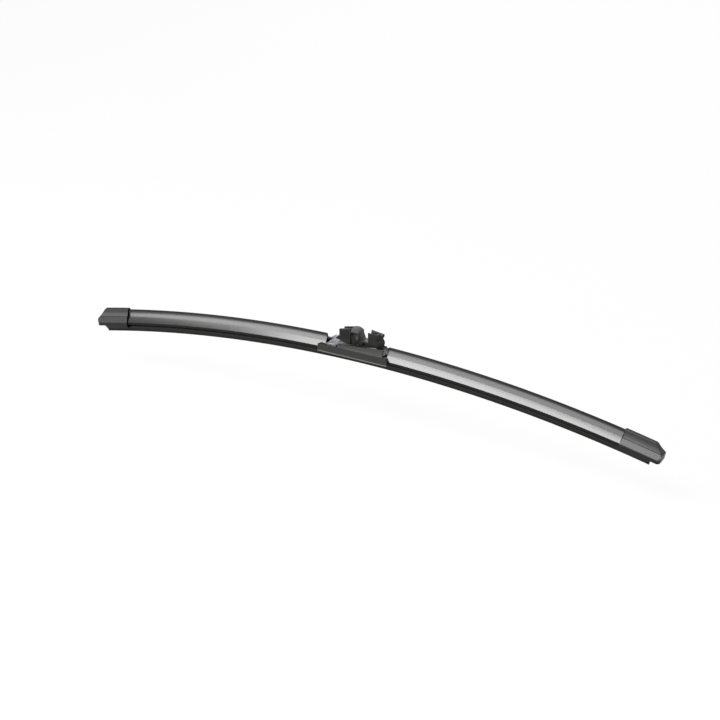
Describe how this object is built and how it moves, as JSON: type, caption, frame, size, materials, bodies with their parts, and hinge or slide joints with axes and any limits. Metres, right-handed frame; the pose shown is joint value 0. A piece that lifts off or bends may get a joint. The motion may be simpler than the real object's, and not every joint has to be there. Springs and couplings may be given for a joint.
{
  "type": "wiper blade",
  "caption": "Flat windscreen wiper blade in its free curve, with a rubber lip on sprung rails, an aerofoil cover, end caps and a rocking arm adaptor in the middle.",
  "frame": {"origin": "middle of the pivot pin, in the arm adaptor's seat at mid length", "axes": "+X along the blade, +Y to its rear, +Z away from the glass"},
  "size_m": [0.4542, 0.0148, 0.05],
  "materials": {
    "rubber": "graphite coated, dull",
    "rail_steel": "rolled spring steel",
    "aerofoil_plastic": "semi-gloss extrusion",
    "cap_plastic": "fine grain moulding",
    "cover_plastic": "satin moulding",
    "saddle_steel": "bright plated sheet",
    "pin_steel": "turned",
    "adaptor_plastic": "satin moulding"
  },
  "bodies": {
    "adaptor": {"arm_adaptor": "adaptor_plastic"},
    "blade": {"wiping_rubber": "rubber", "front_rail": "rail_steel", "rear_rail": "rail_steel", "left_aerofoil": "aerofoil_plastic", "right_aerofoil": "aerofoil_plastic", "left_end_cap": "cap_plastic", "right_end_cap": "cap_plastic", "saddle": "saddle_steel", "pivot_pin": "pin_steel", "base_cover": "cover_plastic"}
  },
  "joints": [
    {"name": "adaptor_pivot", "type": "hinge", "parent": "adaptor", "child": "blade", "pos_m": [0, 0, 0], "axis": [0, 1, 0], "range_deg": [-8, 8]}
  ]
}
